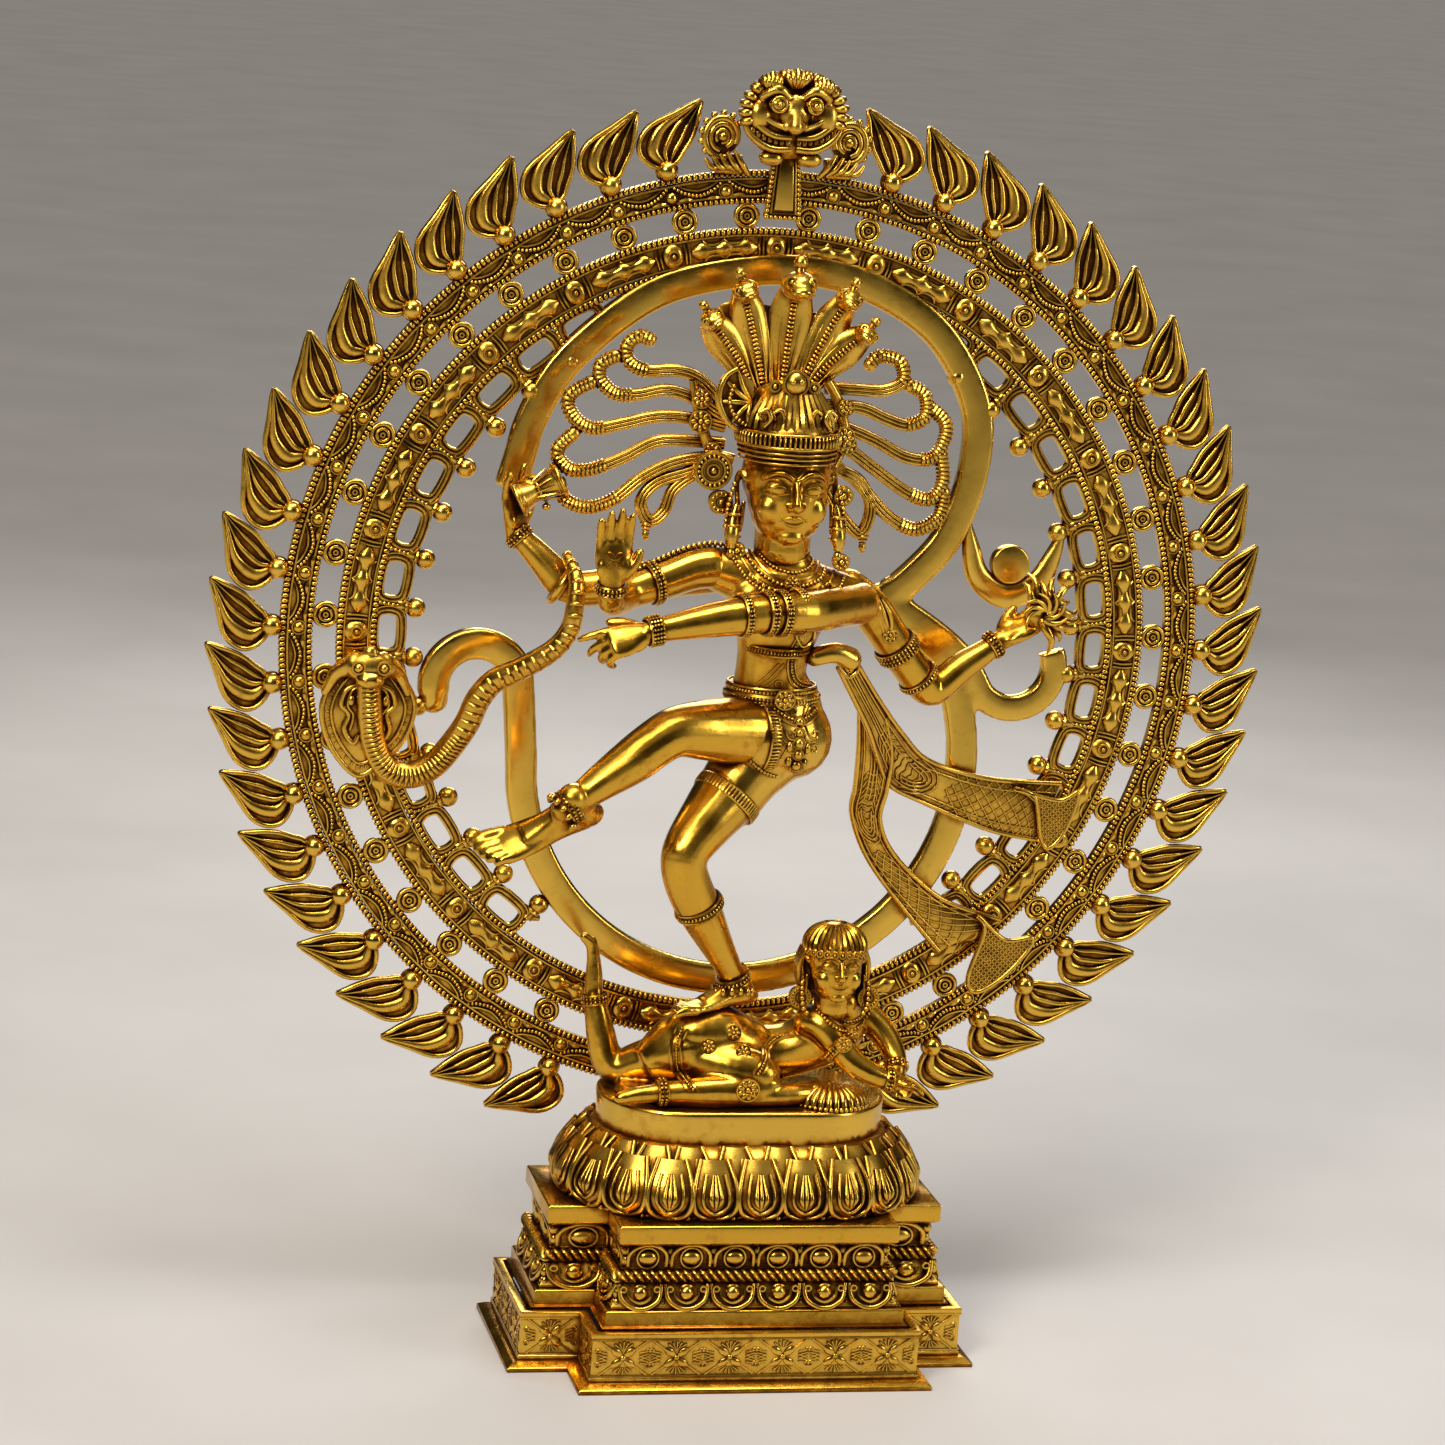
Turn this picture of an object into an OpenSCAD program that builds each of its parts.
// Dancing figure in a ring of flames, on a stepped lotus pedestal. Cast brass, brazed and bolted.
// Millimetres. +Z is up, +Y is to the back, origin at the middle of the base on the table.

/* [Overall] */
// Height from the table to the top of the crest mask
statue_h = 915; // [905:1:925]

/* [Pedestal] */
// Width of the base over its side arms
base_w = 343; // [335:1:350]
// Depth of the base over its front and back arms
base_d = 228; // [220:1:236]
// Width of the front and back arms
front_w = 257; // [250:1:264]
// Depth of the side arms
arm_d = 136; // [130:1:142]
// Wall thickness of the hollow courses
wall = 6; // [5:0.5:7]
// Height of the deck top above the table
deck_z = 190; // [188:1:192]
// Width of the deck drum
deck_w = 210; // [204:1:216]
// Depth of the deck drum
deck_d = 120; // [116:1:124]

/* [Aureole] */
// Height of the ring's centre
ring_z = 504; // [502:1:506]
// Distance of the ring's middle plane behind the pedestal's centre
ring_y = 80; // [78:1:82]
// Radius of the outer bead rim
rim_r = 338; // [337:0.5:339]
// Thickness of the ring's flat bands
band_t = 9; // [8:0.5:10]
// Flames on each side
flames_a_side = 22; // [21:1:22]
// Angle between neighbouring flames
flame_pitch = 6.9; // [6.7:0.1:7]
// Rosettes in the pierced row
rosettes = 43; // [41:1:43]

/* [Symbol band] */
// Width of the smooth band
om_w = 23; // [21:0.5:25]
// Thickness of the smooth band
om_t = 11; // [9:0.5:12]

/* [Fasteners] */
// Radius of the bolts and studs
bolt_r = 4; // [3.5:0.5:4]
// Radial clearance of the bolt holes
bolt_gap = 0.3; // [0.2:0.1:0.5]

/* [Hidden] */
$fn = 48;
facets = 10;

gold = "goldenrod";
deep_gold = "darkgoldenrod";
steel = "silver";

// Heights of the pedestal's courses, and how far each steps in from the flange
flange_z = 6;
dado_z = 42;
step_z = 55;
lower_frieze_z = 73;
upper_frieze_z = 83;
slab_z = 102;
cap_z = 117;
lotus_z = 166;
dado_in = 9;
step_in = 20;
frieze_in = 26;
neck_in = 32;
cap_in = 27;
cap_in_y = 21;
slab_hole_w = 176;
slab_hole_d = 100;
lotus_w = 264;
lotus_d = 170;
lotus_top_w = 218;
lotus_top_d = 128;

// Radii of the aureole's rows
bead_r = 2.6;
garland_r1 = 321.5;
garland_r2 = rim_r - bead_r + 0.8;
second_r = 319;
rosette_r = 308;
rosette_size = 10.2;
third_r = 297;
cartouche_r1 = 276.5;
cartouche_r2 = 295.5;
fourth_r = 273.5;
loop_r1 = 243;
loop_r2 = 272;
loop_w = 31;
loop_bar = 6;
loop_t = 6;
loop_pitch = 8.4;
loops_up = 8;
loops_down = 6;
loop_ball = 7;
loop_link = 2.7;
link_w = 12;
link_t = 4;
stud_r = 349;
stud_size = 7;
flame_t = 6;
flame_first = 76.2;
band_front = ring_y - band_t / 2;

// Fasteners
lug_x = 34;
lug_z = 178;
lug_w = 28;
lug_h = 16;
rod_x = 62;
nut_t = 6.4;
nut_r = 7.5;
washer_t = 1.6;
washer_r = 8.5;
bar_top = dado_z;
bar_t = 5;
deck_t = 6;
stud_x = -28;
stud_y = -17;
sole_z = 256;

function unit(v) = v / norm(v);
function at(p) = [p[0], p[1], p[2]];

// Smooth curve through hand-placed points of any length, n steps between neighbours
function spline(a, b, c, d, t) =
    0.5 * (2 * b + (c - a) * t + (2 * a - 5 * b + 4 * c - d) * t * t + (3 * b - a - 3 * c + d) * t * t * t);
function curve(p, n = 4) = concat(
    [for (i = [0:len(p) - 2], k = [0:n - 1])
        spline(p[max(i - 1, 0)], p[i], p[i + 1], p[min(i + 2, len(p) - 1)], k / n)],
    [p[len(p) - 1]]);
function arc(c, r, a0, a1, n = 16) =
    [for (i = [0:n]) let (a = a0 + (a1 - a0) * i / n) [c[0] + r * cos(a), c[1] + r * sin(a)]];
function heading(p, i) = unit(p[min(i + 1, len(p) - 1)] - p[max(i - 1, 0)]);

// Outline of a flat strip of width w along a flat path; taper gives the end's share of the width
function strip_side(p, w, taper, s) =
    [for (i = [0:len(p) - 1])
        let (t = heading(p, i), f = 1 + (taper - 1) * i / (len(p) - 1))
        p[i] + s * [-t[1], t[0]] * w * f / 2];
function backwards(p) = [for (i = [len(p) - 1:-1:0]) p[i]];
module strip(p, w, taper = 1) {
    polygon(concat(strip_side(p, w, taper, 1), backwards(strip_side(p, w, taper, -1))));
}

// A flat shape drawn in X and Z, made solid from y0 to y0 + t
module upright(y0, t) {
    translate([0, y0 + t, 0])
        rotate([90, 0, 0])
            linear_extrude(t)
                children();
}

// A round limb along points [x, y, z, radius]; side is a direction the limb never runs along
module limb(p, side = [0, 1, 0], sides = facets) {
    n = len(p);
    spots = [for (i = [0:n - 1])
        let (t = unit(at(p[min(i + 1, n - 1)]) - at(p[max(i - 1, 0)])), u = unit(cross(t, side)), v = cross(u, t))
        for (k = [0:sides - 1])
            at(p[i]) + p[i][3] * (u * cos(360 * k / sides) + v * sin(360 * k / sides))];
    walls = [for (i = [0:n - 2], k = [0:sides - 1])
        let (a = i * sides + k, b = i * sides + (k + 1) % sides) [a, b, b + sides, a + sides]];
    first = [for (k = [sides - 1:-1:0]) k];
    last = [for (k = [0:sides - 1]) (n - 1) * sides + k];
    polyhedron(points = spots, faces = concat([first], walls, [last]), convexity = 4);
}

// A band round a limb: centre, direction of the limb, radius and width
module band(c, d, r, w, rim = 2) {
    translate(c)
        rotate([0, acos(unit(d)[2]), atan2(d[1], d[0])])
            translate([0, 0, -w / 2])
                difference() {
                    cylinder(r = r + rim, h = w);
                    translate([0, 0, -1])
                        cylinder(r = r - 1, h = w + 2);
                }
}

// The cross-shaped plan of the pedestal, stepped in by x and y
module plan(x, y) {
    square([front_w - 2 * x, base_d - 2 * y], center = true);
    square([base_w - 2 * x, arm_d - 2 * y], center = true);
}
module course(z0, z1, x, y) {
    translate([0, 0, z0])
        difference() {
            linear_extrude(z1 - z0)
                plan(x, y);
            translate([0, 0, -1])
                linear_extrude(z1 - z0 + 2)
                    plan(x + wall, y + wall);
        }
}
// A solid with round ends, w wide and d deep at the bottom, w2 and d2 at the top
module round_ended(w, d, w2, d2, z0, z1) {
    hull()
        for (s = [-1, 1]) {
            translate([s * (w - d) / 2, 0, z0])
                cylinder(d = d, h = 0.1, $fn = 32);
            translate([s * (w2 - d2) / 2, 0, z1 - 0.1])
                cylinder(d = d2, h = 0.1, $fn = 32);
        }
}

module base_flange() {
    color(gold)
        course(0, flange_z, 0, 0);
}
module dado() {
    color(deep_gold)
        course(flange_z, dado_z, dado_in, dado_in);
}
module step_slab() {
    color(gold)
        course(dado_z, step_z, step_in, step_in);
}
module lower_petal_frieze() {
    color(deep_gold)
        course(step_z, lower_frieze_z, frieze_in, frieze_in);
}
module rope_moulding() {
    color(gold)
        course(lower_frieze_z, upper_frieze_z, neck_in - 2, neck_in - 2);
}
module upper_petal_frieze() {
    color(deep_gold)
        course(upper_frieze_z, slab_z, neck_in, frieze_in);
}
module cap_slab() {
    color(gold)
        difference() {
            translate([0, 0, slab_z])
                linear_extrude(cap_z - slab_z)
                    plan(cap_in, cap_in_y);
            translate([0, 0, slab_z - 1])
                linear_extrude(cap_z - slab_z + 2)
                    square([slab_hole_w, slab_hole_d], center = true);
        }
}
module lotus_cushion() {
    color(gold)
        difference() {
            round_ended(lotus_w, lotus_d, lotus_top_w, lotus_top_d, cap_z, lotus_z);
            round_ended(lotus_w - 2 * wall, lotus_d - 2 * wall,
                lotus_top_w - 2 * wall, lotus_top_d - 2 * wall, cap_z - 1, lotus_z + 1);
        }
}
module deck_plan(inset) {
    r = deck_d / 2 - inset;
    x = (deck_w - deck_d) / 2;
    polygon(concat(arc([x, 0], r, -90, 90, 12), arc([-x, 0], r, 90, 270, 12)));
}
module deck_drum() {
    color(gold)
        difference() {
            translate([0, 0, lotus_z])
                linear_extrude(deck_z - lotus_z)
                    deck_plan(0);
            translate([0, 0, lotus_z - 1])
                linear_extrude(deck_z - deck_t - lotus_z + 1)
                    deck_plan(wall);
            translate([stud_x, stud_y, deck_z - deck_t - 1])
                cylinder(r = bolt_r + bolt_gap, h = deck_t + 2);
            for (s = [-1, 1])
                translate([s * lug_x, 0, lug_z])
                    rotate([-90, 0, 0])
                        cylinder(r = bolt_r + bolt_gap, h = deck_d);
        }
}

module tie_bar() {
    color(steel)
        difference() {
            translate([1 - base_w / 2 + dado_in + wall, -15, bar_top - bar_t])
                cube([base_w - 2 * (dado_in + wall + 1), 30, bar_t]);
            for (s = [-1, 1])
                translate([s * rod_x, 0, 0])
                    cylinder(r = bolt_r + bolt_gap, h = dado_z + 1);
        }
}
module tie_rods() {
    color(steel)
        for (s = [-1, 1])
            translate([s * rod_x, 0, bar_top - 18])
                cylinder(r = bolt_r, h = deck_z - deck_t - bar_top + 18);
}
// Where each nut bears, and the way it faces: the tie rods, the foot stud and the two lug bolts
module at_each_nut() {
    for (s = [-1, 1])
        translate([s * rod_x, 0, bar_top - bar_t])
            rotate([180, 0, 0])
                children();
    translate([stud_x, stud_y, deck_z - deck_t])
        rotate([180, 0, 0])
            children();
    for (s = [-1, 1])
        translate([s * lug_x, deck_d / 2 - wall, lug_z])
            rotate([90, 0, 0])
                children();
}
module washers() {
    color(steel)
        at_each_nut()
            difference() {
                cylinder(r = washer_r, h = washer_t);
                translate([0, 0, -1])
                    cylinder(r = bolt_r + bolt_gap, h = washer_t + 2);
            }
}
module nuts() {
    color(steel)
        at_each_nut()
            translate([0, 0, washer_t])
                difference() {
                    cylinder(r = nut_r, h = nut_t, $fn = 6);
                    translate([0, 0, -1])
                        cylinder(r = bolt_r + 0.05, h = nut_t + 2);
                }
}
module foot_stud() {
    color(steel)
        translate([stud_x, stud_y, deck_z - deck_t - 14])
            cylinder(r = bolt_r, h = sole_z - deck_z + deck_t + 14);
}
module aureole_lugs() {
    color(deep_gold)
        for (s = [-1, 1])
            difference() {
                translate([s * lug_x - lug_w / 2, deck_d / 2, lug_z - lug_h / 2])
                    cube([lug_w, band_front - deck_d / 2, lug_h]);
                translate([s * lug_x, 0, lug_z])
                    rotate([-90, 0, 0])
                        cylinder(r = bolt_r + bolt_gap, h = ring_y);
            }
}
module lug_bolts() {
    color(steel)
        for (s = [-1, 1])
            translate([s * lug_x, ring_y + band_t / 2, lug_z])
                rotate([90, 0, 0]) {
                    translate([0, 0, -5])
                        cylinder(r = nut_r, h = 5, $fn = 6);
                    translate([0, 0, -1])
                        cylinder(r = bolt_r, h = ring_y + band_t / 2 - deck_d / 2 + wall + 13);
                }
}

// A ring about the aureole's axis, swept from the flat shape given in radius and depth
module ring() {
    translate([0, ring_y, ring_z])
        rotate([90, 0, 0])
            rotate_extrude($fn = 180)
                children();
}
module flat_ring(r1, r2) {
    ring()
        translate([r1, -band_t / 2])
            square([r2 - r1, band_t]);
}
module bead_ring(r) {
    ring()
        translate([r, band_t / 2 - bead_r])
            circle(r = bead_r);
}
// Something drawn at [tangent, radius], set at angle a round the aureole
module round_ring(a) {
    translate([0, ring_y, ring_z])
        rotate([0, 90 - a, 0])
            children();
}

module outer_bead_rim() {
    color(gold)
        bead_ring(rim_r);
}
module garland_band() {
    color(deep_gold)
        difference() {
            flat_ring(garland_r1, garland_r2);
            for (s = [-1, 1])
                translate([s * lug_x, 0, lug_z])
                    rotate([-90, 0, 0])
                        cylinder(r = bolt_r + bolt_gap, h = 2 * ring_y);
        }
}
module second_bead_row() {
    color(gold)
        bead_ring(second_r);
}
module rosette_row() {
    color(gold)
        for (i = [0:rosettes - 1])
            round_ring(90 + (i + 0.5) * 360 / rosettes)
                translate([0, band_t / 2 - 1, rosette_r])
                    rotate([90, 0, 0])
                        difference() {
                            cylinder(r = rosette_size, h = band_t - 1, $fn = 24);
                            translate([0, 0, band_t - 3])
                                cylinder(r = 3, h = 3, $fn = 24);
                        }
}
module third_bead_row() {
    color(gold)
        bead_ring(third_r);
}
module cartouche_band() {
    color(deep_gold)
        flat_ring(cartouche_r1, cartouche_r2);
}
module fourth_bead_row() {
    color(gold)
        bead_ring(fourth_r);
}
// One loop of the fringe and the ball on its short link to the next, drawn flat
module fringe_loop() {
    difference() {
        translate([-loop_w / 2, loop_r1])
            square([loop_w, loop_r2 - loop_r1]);
        translate([loop_bar - loop_w / 2, loop_r1 + loop_bar])
            square([loop_w - 2 * loop_bar, loop_r2 - loop_r1 - 2 * loop_bar]);
    }
    translate([loop_w / 2 + loop_link, loop_r1 + 1])
        circle(r = loop_ball, $fn = 24);
    translate([loop_w / 2 + loop_link - link_w / 2, loop_r1 + link_t / 2])
        square([link_w, link_t]);
}
module loop_fringe() {
    color(deep_gold)
        translate([0, ring_y + loop_t / 2, ring_z])
            rotate([90, 0, 0])
                linear_extrude(loop_t)
                    for (i = [-loops_down:loops_up - 1], s = [0, 1])
                        mirror([s, 0])
                            rotate(i * loop_pitch - 90)
                                fringe_loop();
}
// One flame: the tip leans to the crest, the belly away from it
module flame() {
    rotate([90, 0, 0])
        translate([0, 0, -flame_t / 2])
            linear_extrude(flame_t)
                polygon(curve([[-8, 337], [6, 339], [13, 353], [11, 365], [-2, 375], [-17, 381], [-29, 391],
                    [-23, 377], [-16, 367], [-15, 354], [-12, 344], [-8, 337]], 2));
}
module round_flames() {
    for (i = [0:flames_a_side - 1], s = [-1, 1])
        scale([s, 1, 1])
            round_ring(flame_first - i * flame_pitch)
                children();
}
module flames() {
    color(gold)
        round_flames()
            flame();
}
module flame_studs() {
    color(gold)
        round_flames()
            translate([0, -flame_t / 2, stud_r])
                sphere(r = stud_size, $fn = 24);
}

// The symbol band: a big upper bowl, a big lower bowl ending in a hook, and a tail
upper_knots = [[-175, 630], [-167, 663], [-144, 704], [-94, 748], [-46, 767], [18, 775], [72, 765], [124, 735],
    [157, 684], [160, 635], [146, 588], [125, 560]];
lower_c = [4, 415];
lower_bowl_r = 165;
crossing = [100, 538];
upper_path = curve(concat(upper_knots, [crossing, [84, 533]]), 4);
lower_path = concat([crossing], arc(lower_c, lower_bowl_r, 31, -180, 32), arc([-197, 466], 31, 0, 190, 10));
tail_path = concat(curve([crossing, [140, 514], [165, 492]], 3), arc([203, 490], 31, 200, 385, 12));
module symbol_band() {
    color(gold)
        upright(ring_y - om_t / 2 - 1, om_t)
            union() {
                strip(upper_path, om_w);
                strip(lower_path, om_w);
                strip(tail_path, om_w - 3);
            }
}
module crescent() {
    color(gold)
        upright(ring_y - 8, 9)
            difference() {
                translate([193, 571])
                    circle(r = 36);
                translate([193, 579])
                    circle(r = 29);
                translate([193 - 40, 588])
                    square([80, 40]);
            }
}
module moon_disc() {
    color(gold)
        upright(ring_y - 9, 10)
            translate([193, 567])
                circle(r = 14);
}

module crest_mask() {
    color(gold) {
        upright(56, 24)
            polygon(curve([[-14, 864], [14, 864], [26, 872], [37, 886], [35, 899], [24, 897], [20, 907], [9, 904],
                [0, statue_h], [-9, 904], [-20, 907], [-24, 897], [-35, 899], [-37, 886], [-26, 872], [-14, 864]], 2));
        translate([0, 56, 878])
            sphere(r = 9);
    }
}
module crest_scrolls() {
    color(gold)
        for (s = [-1, 1])
            upright(66, 14)
                difference() {
                    union() {
                        translate([s * 46, 868])
                            circle(r = 15);
                        translate([s * 38 - 9, 840])
                            square([18, 26]);
                    }
                    translate([s * 47, 868])
                        circle(r = 5);
                }
}
module crest_tablet() {
    color(gold)
        upright(62, 10)
            polygon([[-8, 862], [8, 862], [12.5, 812], [-12.5, 812]]);
}

// The main figure
module torso() {
    color(gold) {
        limb(curve([[2, 0, 448, 32], [1, -2, 478, 30], [-1, -5, 506, 25], [0, -5, 530, 31], [2, -3, 556, 36],
            [4, -2, 574, 26], [4, -3, 584, 13], [3, -4, 600, 12]], 2), [0, 1, 0], 16);
        limb([[-58, 2, 572, 14], [-30, 0, 562, 22], [4, -2, 558, 26], [34, 0, 554, 22], [62, 2, 549, 14]], [0, 1, 0], 12);
    }
}
module head() {
    color(gold)
        limb([[2, -12, 591, 8], [2, -9, 597, 20], [2, -6, 610, 29], [1, -4, 630, 34], [0, -2, 650, 34],
            [-1, 0, 666, 26], [-1, 0, 674, 10]], [0, 1, 0], 16);
}
module crown() {
    color(gold) {
        limb([[0, -2, 648, 36], [0, -1, 664, 36], [-1, 0, 670, 31], [-1, 2, 692, 27], [-2, 4, 706, 20],
            [-2, 4, 722, 12]], [0, 1, 0], 16);
        translate([-2, -12, 700])
            sphere(r = 12);
    }
}
module hair_ornaments() {
    color(deep_gold)
        for (p = [[-62, 676, 16], [52, 668, 11], [-44, 700, 8]])
            upright(2, 16)
                translate([p[0], p[1]])
                    circle(r = p[2]);
}
module ear_ornaments() {
    color(gold) {
        upright(-4, 12)
            translate([-54, 634])
                circle(r = 15);
        for (s = [-1, 1])
            limb([[s * 37, -2, 636, 5], [s * 39, -4, 616, 5], [s * 38, -6, 598, 8], [s * 37, -8, 588, 4]]);
    }
}
module cobra_hood() {
    color(deep_gold) {
        upright(24, 14)
            polygon(curve([[-22, 696], [22, 696], [38, 716], [56, 738], [46, 756], [30, 760], [14, 772], [-10, 772],
                [-28, 764], [-44, 758], [-58, 740], [-40, 716], [-22, 696]], 2));
        for (p = [[-52, 744], [-32, 764], [2, 770], [36, 762], [50, 742]])
            limb([[p[0] * 0.9, 30, p[1] - 16, 8], [p[0], 22, p[1], 11], [p[0], 12, p[1] - 2, 8], [p[0], 5, p[1] - 5, 4]],
                [0, 0, 1]);
    }
}
// Flying hair: flat grooved strands with curled ends, each from the head outwards
lock_w = 7;
left_locks = [
    [[-40, 680], [-60, 700], [-80, 706], [-98, 706], [-111, 713], [-110, 725]],
    [[-40, 672], [-64, 687], [-84, 692], [-104, 688], [-120, 688], [-130, 698], [-127, 710]],
    [[-40, 668], [-68, 673], [-90, 673], [-114, 667], [-135, 663], [-149, 672], [-149, 687]],
    [[-40, 654], [-68, 657], [-90, 655], [-112, 643], [-134, 635], [-150, 635], [-157, 648], [-148, 659]],
    [[-40, 646], [-58, 645], [-78, 640], [-98, 629], [-117, 613], [-135, 607], [-150, 613], [-156, 626]],
    [[-44, 640], [-63, 633], [-75, 622], [-80, 608], [-89, 599]],
    [[-89, 599], [-99, 612], [-90, 629], [-72, 640]]];
right_locks = [
    [[30, 698], [52, 698], [74, 698], [87, 706], [83, 719], [69, 724]],
    [[30, 686], [57, 685], [76, 678], [92, 674], [105, 681], [104, 696], [92, 702]],
    [[30, 676], [52, 669], [70, 662], [93, 651], [113, 652], [121, 668], [112, 686]],
    [[30, 664], [52, 654], [70, 642], [95, 626], [114, 622], [122, 636], [119, 653]],
    [[30, 650], [45, 641], [60, 631], [82, 609], [105, 600], [121, 610], [123, 628]],
    [[30, 642], [48, 637], [64, 630], [71, 612], [63, 595]],
    [[63, 595], [50, 608], [37, 628]]];
module hair_locks_left() {
    color(gold) {
        for (p = left_locks)
            upright(20, 7)
                strip(curve(p, 3), lock_w, 0.9);
        upright(21, 6)
            strip(curve([[-110, 722], [-130, 704], [-150, 682], [-157, 652], [-154, 620]], 4), lock_w);
    }
}
module hair_locks_right() {
    color(gold) {
        for (p = right_locks)
            upright(20, 7)
                strip(curve(p, 3), lock_w, 0.9);
        upright(21, 6)
            strip(curve([[86, 716], [104, 692], [120, 670], [122, 645], [123, 622]], 4), lock_w);
    }
}

module front_right_arm() {
    color(gold) {
        limb(curve([[-52, -2, 572, 15], [-80, -8, 563, 14], [-106, -16, 555, 12], [-119, -30, 553, 11],
            [-127, -44, 556, 8]], 2), [0, 0, 1]);
        limb([[-128, -44, 552, 8], [-129, -49, 564, 9], [-129, -51, 578, 13], [-129, -52, 592, 12],
            [-128, -53, 606, 10], [-128, -53, 619, 4]]);
    }
}
module front_left_arm() {
    color(gold) {
        limb(curve([[58, -4, 549, 15], [34, -26, 548, 14], [8, -44, 549, 14], [-20, -52, 549, 13], [-55, -60, 546, 12],
            [-90, -67, 541, 9], [-108, -70, 537, 7]], 2), [0, 0, 1]);
        limb([[-104, -70, 538, 7], [-116, -71, 535, 10], [-132, -72, 528, 10], [-146, -73, 518, 8], [-154, -74, 512, 4]],
            [0, 0, 1]);
    }
}
module rear_right_arm() {
    color(gold) {
        limb(curve([[-50, 12, 565, 14], [-90, 16, 557, 13], [-142, 18, 550, 12], [-152, 20, 556, 11],
            [-170, 26, 572, 10], [-184, 30, 586, 7]], 2), [0, 1, 0]);
        limb([[-184, 30, 584, 7], [-188, 32, 598, 11], [-189, 33, 612, 12], [-186, 34, 628, 10], [-182, 34, 642, 5]]);
    }
}
module rear_left_arm() {
    color(gold) {
        limb(curve([[56, 8, 556, 14], [71, 12, 545, 15], [96, 20, 514, 14], [122, 28, 482, 13], [130, 30, 484, 12],
            [154, 33, 502, 11], [178, 35, 518, 7]], 2), [0, 1, 0]);
        limb([[176, 35, 516, 7], [188, 35, 526, 11], [200, 35, 535, 12], [210, 35, 542, 8]]);
    }
}
module hand_drum() {
    color(gold)
        translate([-170, 22, 618])
            rotate([0, 60, 0])
                for (s = [0, 180])
                    rotate([s, 0, 0])
                        cylinder(r1 = 6, r2 = 13, h = 17);
}
module hand_flame() {
    color(gold)
        limb([[202, 34, 534, 8], [208, 34, 544, 15], [214, 34, 556, 12], [220, 34, 568, 3]]);
}
module shorts() {
    color(deep_gold) {
        limb([[2, 0, 440, 34], [3, 0, 462, 37], [2, -1, 484, 33]], [0, 1, 0], 16);
        limb([[14, -6, 450, 32], [-14, -14, 457, 29], [-30, -22, 459, 26]], [0, 1, 0], 16);
        limb([[0, 0, 452, 30], [-14, -8, 428, 27], [-22, -13, 416, 25]], [0, 1, 0], 16);
    }
}
module raised_leg() {
    color(gold) {
        limb(curve([[-24, -18, 457, 25], [-56, -36, 462, 21], [-80, -46, 461, 17], [-96, -50, 450, 16],
            [-120, -54, 433, 15], [-142, -58, 418, 10], [-154, -60, 409, 9]], 2));
        limb([[-148, -60, 413, 10], [-160, -60, 405, 14], [-178, -60, 400, 13], [-196, -61, 399, 12], [-211, -62, 399, 6]]);
    }
}
module standing_leg() {
    color(gold) {
        limb(curve([[-18, -10, 424, 24], [-42, -26, 400, 21], [-62, -38, 378, 17], [-58, -36, 358, 16],
            [-44, -28, 330, 16], [-24, -19, 292, 10], [-14, -15, 270, 9]], 2));
        limb([[8, -8, 262, 8], [-6, -13, 266, 10], [-24, -17, 264, 10], [-44, -22, 261, 9], [-64, -26, 259, 6]], [0, 1, 0]);
    }
}
module necklaces() {
    color(deep_gold)
        for (p = [[582, 14, 20, 3], [577, 24, 24, 4]])
            translate([4, -3, p[0]])
                rotate_extrude()
                    translate([p[1], 0])
                        circle(r = p[3], $fn = 16);
}
module sacred_thread() {
    color(deep_gold)
        limb(curve([[36, -30, 566, 2.5], [12, -38, 540, 2.5], [10, -33, 512, 2.5], [16, -33, 486, 2.5],
            [12, -36, 470, 2.5]], 3), [1, 0, 0], 8);
}
module belt() {
    color(deep_gold)
        translate([2, 0, 483])
            difference() {
                cylinder(r = 36, h = 9);
                translate([0, 0, -1])
                    cylinder(r = 27, h = 11);
            }
}
module armlets() {
    color(deep_gold) {
        band([0, -48, 549], [-30, -8, 0], 14, 7);
        band([-14, -51, 549], [-30, -8, 0], 14, 5);
        band([-36, -56, 548], [-30, -8, -1], 13, 5);
        band([92, 19, 518], [26, 8, -34], 14, 7);
        band([-84, -9, 562], [-27, -7, -9], 13.5, 6);
    }
}
module bracelets() {
    color(deep_gold) {
        band([-104, -69, 538], [-30, -6, -7], 8, 9);
        band([-128, -47, 560], [0, -4, 12], 9, 7);
        band([-182, 30, 583], [-14, 4, 14], 8, 8);
        band([176, 35, 516], [24, 2, 16], 8, 8);
    }
}
module anklets() {
    color(deep_gold) {
        band([-150, -59, 412], [-22, -4, -15], 10, 8);
        band([-16, -16, 276], [10, 4, -22], 9.5, 9);
        band([-36, -24, 318], [20, 9, -38], 13, 6);
        band([-50, -31, 391], [-20, -12, -22], 20, 6);
    }
}
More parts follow.
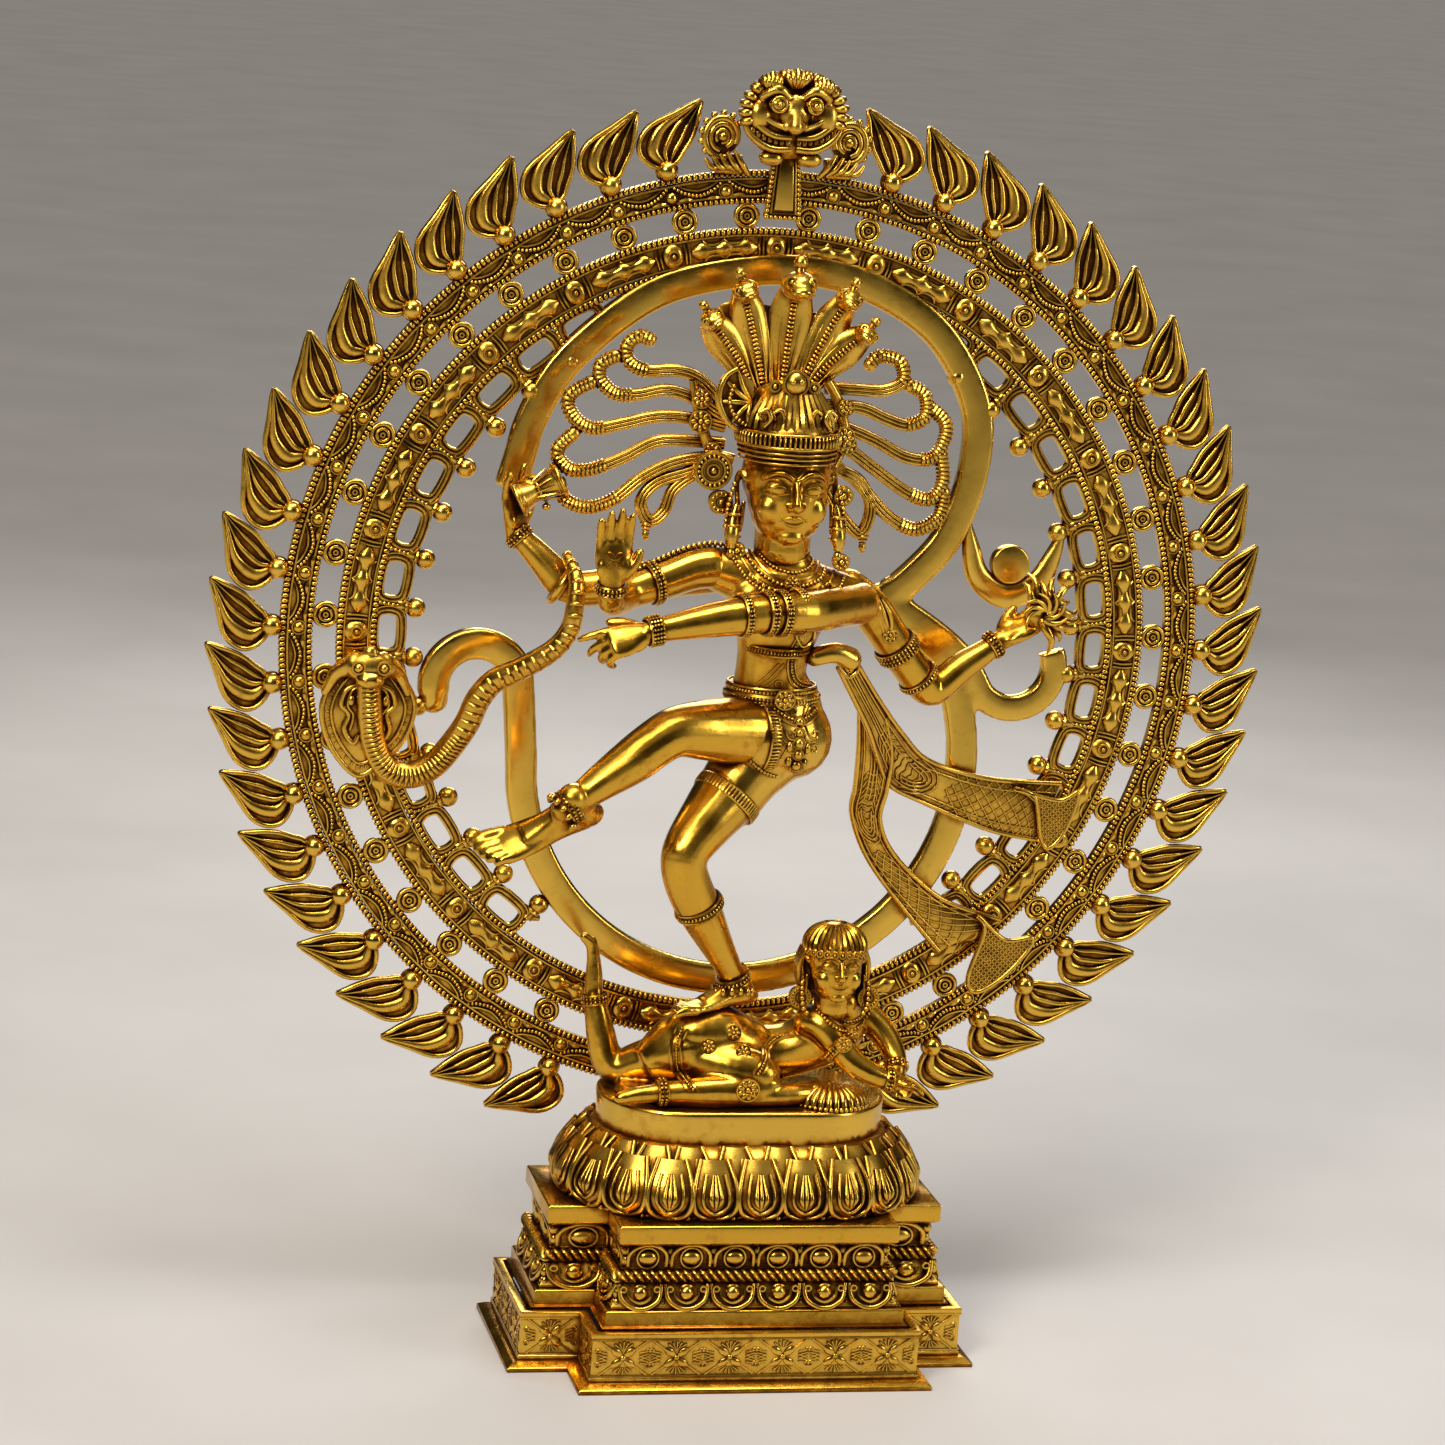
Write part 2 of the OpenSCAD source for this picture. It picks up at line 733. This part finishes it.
// A hanging cloth end: a broad flat strip along points [x, y, z, half width]
module cloth(p) {
    for (i = [0:len(p) - 2])
        hull()
            for (q = [p[i], p[i + 1]])
                translate(at(q))
                    rotate([90, 0, 0])
                        cylinder(r = q[3], h = 5, center = true, $fn = 12);
}
module sash() {
    color(deep_gold) {
        cloth([[44, -8, 512, 9], [68, 10, 478, 13], [92, 28, 440, 18], [130, 50, 408, 16], [186, 66, 388, 19],
            [232, 68, 386, 21]]);
        cloth([[88, 30, 430, 13], [92, 48, 380, 11], [110, 62, 345, 14], [150, 68, 306, 19], [192, 68, 276, 22]]);
    }
}
module arm_cobra() {
    color(gold) {
        limb(curve([[-150, 8, 572, 5], [-146, -6, 552, 7], [-148, -8, 526, 7], [-164, 0, 504, 8],
            [-192, 16, 480, 9], [-207, 32, 452, 9], [-224, 48, 420, 10], [-246, 56, 404, 10], [-266, 58, 412, 10],
            [-275, 58, 434, 10], [-277, 58, 456, 10]], 2), [0, 1, 0], 8);
        upright(56, 14)
            polygon(curve([[-277, 414], [-296, 428], [-306, 450], [-298, 472], [-280, 490], [-258, 478], [-246, 456],
                [-256, 432], [-277, 414]], 3));
        limb([[-278, 60, 478, 13], [-278, 52, 486, 11], [-278, 44, 482, 8]], [1, 0, 0]);
    }
}
module small_figure() {
    color(gold)
        difference() {
            union() {
                limb(curve([[78, -22, 252, 14], [66, -16, 240, 20], [40, -8, 222, 22], [0, -6, 216, 24], [-30, -8, 222, 29],
                    [-58, -10, 216, 24], [-72, -10, 210, 14]], 2), [0, 1, 0], 14);
                limb(curve([[-40, -14, 214, 18], [-4, -34, 212, 15], [-30, -42, 202, 12], [-66, -42, 200, 9],
                    [-94, -38, 198, 6]], 2), [0, 0, 1]);
                limb(curve([[-56, 4, 212, 18], [-88, 12, 206, 14], [-102, 16, 216, 11], [-108, 22, 246, 9],
                    [-110, 26, 262, 6], [-110, 28, 292, 4]], 2), [0, 1, 0]);
                limb(curve([[52, -30, 246, 10], [60, -42, 230, 9], [86, -46, 214, 8], [106, -40, 208, 7]], 2), [0, 0, 1]);
                limb(curve([[88, -10, 250, 9], [102, -18, 232, 8], [106, -30, 214, 7]], 2), [1, 0, 0]);
            }
            translate([-160, -80, deck_z - 40])
                cube([320, 160, 40]);
            translate([stud_x, stud_y, deck_z - 1])
                cylinder(r = bolt_r + bolt_gap, h = 70);
        }
}
module small_figure_head() {
    color(gold) {
        limb([[70, -20, 256, 8], [66, -26, 266, 11], [64, -28, 274, 19], [62, -27, 290, 24], [62, -24, 304, 23],
            [62, -22, 314, 15], [62, -22, 319, 5]], [0, 1, 0], 14);
        for (s = [-1, 1])
            translate([63 + s * 27, -16, 268])
                sphere(r = 11, $fn = 24);
    }
}
module cushion() {
    color(deep_gold)
        translate([62, -44, deck_z])
            intersection() {
                rotate_extrude()
                    union() {
                        square([20, 12]);
                        translate([20, 0])
                            circle(r = 12);
                    }
                translate([-40, -40, 0])
                    cube([80, 80, 20]);
            }
}

base_flange();
dado();
step_slab();
lower_petal_frieze();
rope_moulding();
upper_petal_frieze();
cap_slab();
lotus_cushion();
deck_drum();
tie_bar();
tie_rods();
washers();
nuts();
foot_stud();
aureole_lugs();
lug_bolts();
outer_bead_rim();
garland_band();
second_bead_row();
rosette_row();
third_bead_row();
cartouche_band();
fourth_bead_row();
loop_fringe();
flames();
flame_studs();
symbol_band();
crescent();
moon_disc();
crest_mask();
crest_scrolls();
crest_tablet();
torso();
head();
crown();
hair_ornaments();
ear_ornaments();
cobra_hood();
hair_locks_left();
hair_locks_right();
front_right_arm();
front_left_arm();
rear_right_arm();
rear_left_arm();
hand_drum();
hand_flame();
shorts();
raised_leg();
standing_leg();
necklaces();
sacred_thread();
belt();
armlets();
bracelets();
anklets();
sash();
arm_cobra();
small_figure();
small_figure_head();
cushion();
